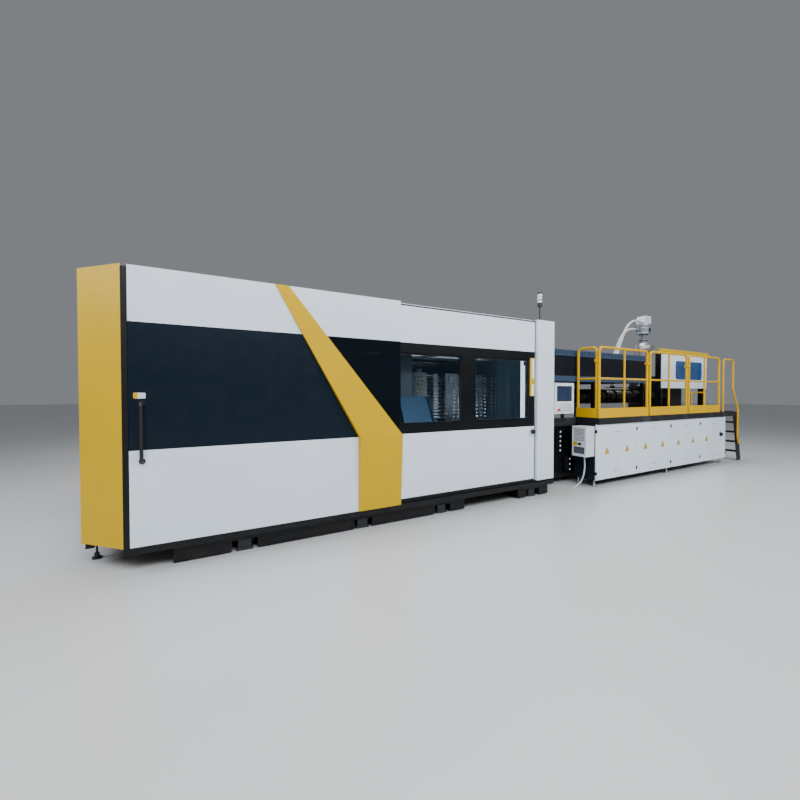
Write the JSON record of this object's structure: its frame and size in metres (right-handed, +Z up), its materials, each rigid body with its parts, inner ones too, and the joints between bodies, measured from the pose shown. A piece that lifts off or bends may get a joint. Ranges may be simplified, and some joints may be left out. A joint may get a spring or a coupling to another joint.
{
  "type": "preform injection molding machine",
  "caption": "Horizontal preform injection moulding machine: enclosed clamp with moving platen and take-out arm, sliding doors, barrel, hopper, walkway, cabinet.",
  "frame": {"origin": "on the floor, at the middle of the machine's length and depth", "axes": "+X from the clamp end to the injection end, +Y away from the operator's side, +Z up"},
  "size_m": [11.64, 2.822, 3.24],
  "materials": {
    "white_paint": "powder-coated white sheet, semi-gloss",
    "yellow_paint": "powder-coated warm yellow sheet, semi-gloss",
    "black_paint": "black structure paint, satin",
    "dark_paint": "dark blue-black sheet, satin",
    "tinted_glass": "smoke-tinted safety pane",
    "clear_pane": "clear safety pane",
    "machined_steel": "ground and machined steel",
    "cast_platen": "painted light-grey casting",
    "mould_steel": "milled mould steel",
    "zinc_sheet": "bare bluish sheet",
    "stainless": "brushed stainless sheet",
    "aluminium": "anodised aluminium",
    "rail_paint": "powder-coated yellow tube",
    "tread_plate": "black non-slip plate",
    "black_plastic": "black moulded plastic",
    "grey_plastic": "light-grey moulded plastic",
    "red_plastic": "red moulded plastic",
    "screen_glass": "dark display face",
    "hose_rubber": "pale ribbed hose",
    "brass_fittings": "brass couplings on painted pipe",
    "lamp_lens": "milky lamp lens with dark caps"
  },
  "bodies": {
    "machine": {"clamp_bed": "black_paint", "levelling_feet": "machined_steel", "injection_bed": "black_paint", "enclosure_frame": "black_paint", "roof_panels": "white_paint", "corner_fascias": "yellow_paint", "wall_panels": "white_paint", "column_cover": "white_paint", "clamp_cylinder": "cast_platen", "stationary_platen": "cast_platen", "tie_bars": "machined_steel", "cavity_half": "mould_steel", "preform_chute": "zinc_sheet", "signal_tower": "lamp_lens", "injection_cover": "dark_paint", "cover_stands": "black_paint", "injection_guard": "white_paint", "guard_window": "clear_pane", "water_manifolds": "brass_fittings", "platform_deck": "tread_plate", "platform_railing": "rail_paint", "access_ladder": "black_paint", "ladder_handrail": "rail_paint", "cabinet_body": "white_paint", "cabinet_hinges": "black_paint", "air_conditioner": "grey_plastic", "drain_hose": "hose_rubber", "hmi_arm": "black_paint", "takeout_guide": "aluminium"},
    "clamp_door": {"clamp_door": "white_paint", "clamp_door_glass": "tinted_glass", "clamp_door_fascia": "yellow_paint", "clamp_door_handle": "black_plastic"},
    "mould_door": {"mould_door": "white_paint", "mould_door_windows": "clear_pane"},
    "latch": {"mould_door_latch": "black_plastic"},
    "rear_door": {"rear_door": "white_paint"},
    "platen": {"moving_platen": "cast_platen", "core_half": "mould_steel"},
    "stripper": {"stripper_plate": "mould_steel"},
    "arm_beam": {"takeout_beam": "aluminium"},
    "arm_plate": {"takeout_plate": "aluminium"},
    "carriage": {"injection_carriage": "black_paint", "injection_barrel": "stainless", "material_hopper": "stainless", "hopper_loader": "grey_plastic", "loader_hoses": "hose_rubber"},
    "screw": {"plasticating_screw": "machined_steel"},
    "switch": {"main_switch_knob": "black_plastic"},
    "panel": {"hmi_housing": "grey_plastic", "hmi_screen": "screen_glass"},
    "stop": {"stop_button": "red_plastic"},
    "bay_door_1": {"cabinet_door_1": "white_paint"},
    "bay_door_2": {"cabinet_door_2": "white_paint"},
    "bay_door_3": {"cabinet_door_3": "white_paint"},
    "bay_door_4": {"cabinet_door_4": "white_paint"},
    "bay_door_5": {"cabinet_door_5": "white_paint"},
    "bay_door_6": {"cabinet_door_6": "white_paint"},
    "bay_door_7": {"cabinet_door_7": "white_paint"},
    "bay_door_8": {"cabinet_door_8": "white_paint"}
  },
  "joints": [
    {"name": "clamp_door_slide", "type": "slide", "parent": "machine", "child": "clamp_door", "axis": [1, 0, 0], "range_m": [0, 2]},
    {"name": "mould_door_slide", "type": "slide", "parent": "machine", "child": "mould_door", "axis": [1, 0, 0], "range_m": [-2.1, 0]},
    {"name": "mould_door_latch_turn", "type": "hinge", "parent": "mould_door", "child": "latch", "pos_m": [-0.74, -1.269, 0.95], "axis": [0, 1, 0], "range_deg": [0, 90]},
    {"name": "rear_door_slide", "type": "slide", "parent": "machine", "child": "rear_door", "axis": [-1, 0, 0], "range_m": [0, 1.6]},
    {"name": "platen_slide", "type": "slide", "parent": "machine", "child": "platen", "axis": [1, 0, 0], "range_m": [-0.78, 0.143]},
    {"name": "stripper_slide", "type": "slide", "parent": "platen", "child": "stripper", "axis": [1, 0, 0], "range_m": [-0.0143, 0.078]},
    {"name": "takeout_beam_slide", "type": "slide", "parent": "machine", "child": "arm_beam", "axis": [0, 1, 0], "range_m": [-0.41, 0.0752]},
    {"name": "takeout_plate_slide", "type": "slide", "parent": "arm_beam", "child": "arm_plate", "axis": [0, 1, 0], "range_m": [-0.41, 0.0752]},
    {"name": "carriage_slide", "type": "slide", "parent": "machine", "child": "carriage", "axis": [1, 0, 0], "range_m": [0, 0.35]},
    {"name": "screw_spin", "type": "hinge", "parent": "carriage", "child": "screw", "pos_m": [4.05, -0.189, 1.43], "axis": [1, 0, 0], "continuous": true},
    {"name": "main_switch_turn", "type": "hinge", "parent": "bay_door_8", "child": "switch", "pos_m": [4.788, -1.389, 0.63], "axis": [0, 1, 0], "range_deg": [0, 90]},
    {"name": "hmi_swivel", "type": "hinge", "parent": "machine", "child": "panel", "pos_m": [-0.085, -1.254, 1.19], "axis": [0, 0, 1], "range_deg": [-60, 60]},
    {"name": "stop_button_push", "type": "slide", "parent": "panel", "child": "stop", "axis": [0, 1, 0], "range_m": [0, 0.006], "stiffness_N_per_m": 800, "springref_m": -0.002},
    {"name": "cabinet_door_1_hinge", "type": "hinge", "parent": "machine", "child": "bay_door_1", "pos_m": [0.579, -1.375, 0.5575], "axis": [0, 0, -1], "range_deg": [0, 90]},
    {"name": "cabinet_door_2_hinge", "type": "hinge", "parent": "machine", "child": "bay_door_2", "pos_m": [1.673, -1.375, 0.5575], "axis": [0, 0, 1], "range_deg": [0, 90]},
    {"name": "cabinet_door_3_hinge", "type": "hinge", "parent": "machine", "child": "bay_door_3", "pos_m": [1.691, -1.375, 0.5575], "axis": [0, 0, -1], "range_deg": [0, 90]},
    {"name": "cabinet_door_4_hinge", "type": "hinge", "parent": "machine", "child": "bay_door_4", "pos_m": [2.785, -1.375, 0.5575], "axis": [0, 0, 1], "range_deg": [0, 90]},
    {"name": "cabinet_door_5_hinge", "type": "hinge", "parent": "machine", "child": "bay_door_5", "pos_m": [2.803, -1.375, 0.5575], "axis": [0, 0, -1], "range_deg": [0, 90]},
    {"name": "cabinet_door_6_hinge", "type": "hinge", "parent": "machine", "child": "bay_door_6", "pos_m": [3.897, -1.375, 0.5575], "axis": [0, 0, 1], "range_deg": [0, 90]},
    {"name": "cabinet_door_7_hinge", "type": "hinge", "parent": "machine", "child": "bay_door_7", "pos_m": [3.915, -1.375, 0.5575], "axis": [0, 0, -1], "range_deg": [0, 90]},
    {"name": "cabinet_door_8_hinge", "type": "hinge", "parent": "machine", "child": "bay_door_8", "pos_m": [5.009, -1.375, 0.5575], "axis": [0, 0, 1], "range_deg": [0, 90]}
  ],
  "couplings": [
    {"joint": "stripper_slide", "follows": "platen_slide", "ratio": -0.1},
    {"joint": "takeout_beam_slide", "follows": "platen_slide", "ratio": 0.52564},
    {"joint": "takeout_plate_slide", "follows": "platen_slide", "ratio": 0.52564}
  ]
}
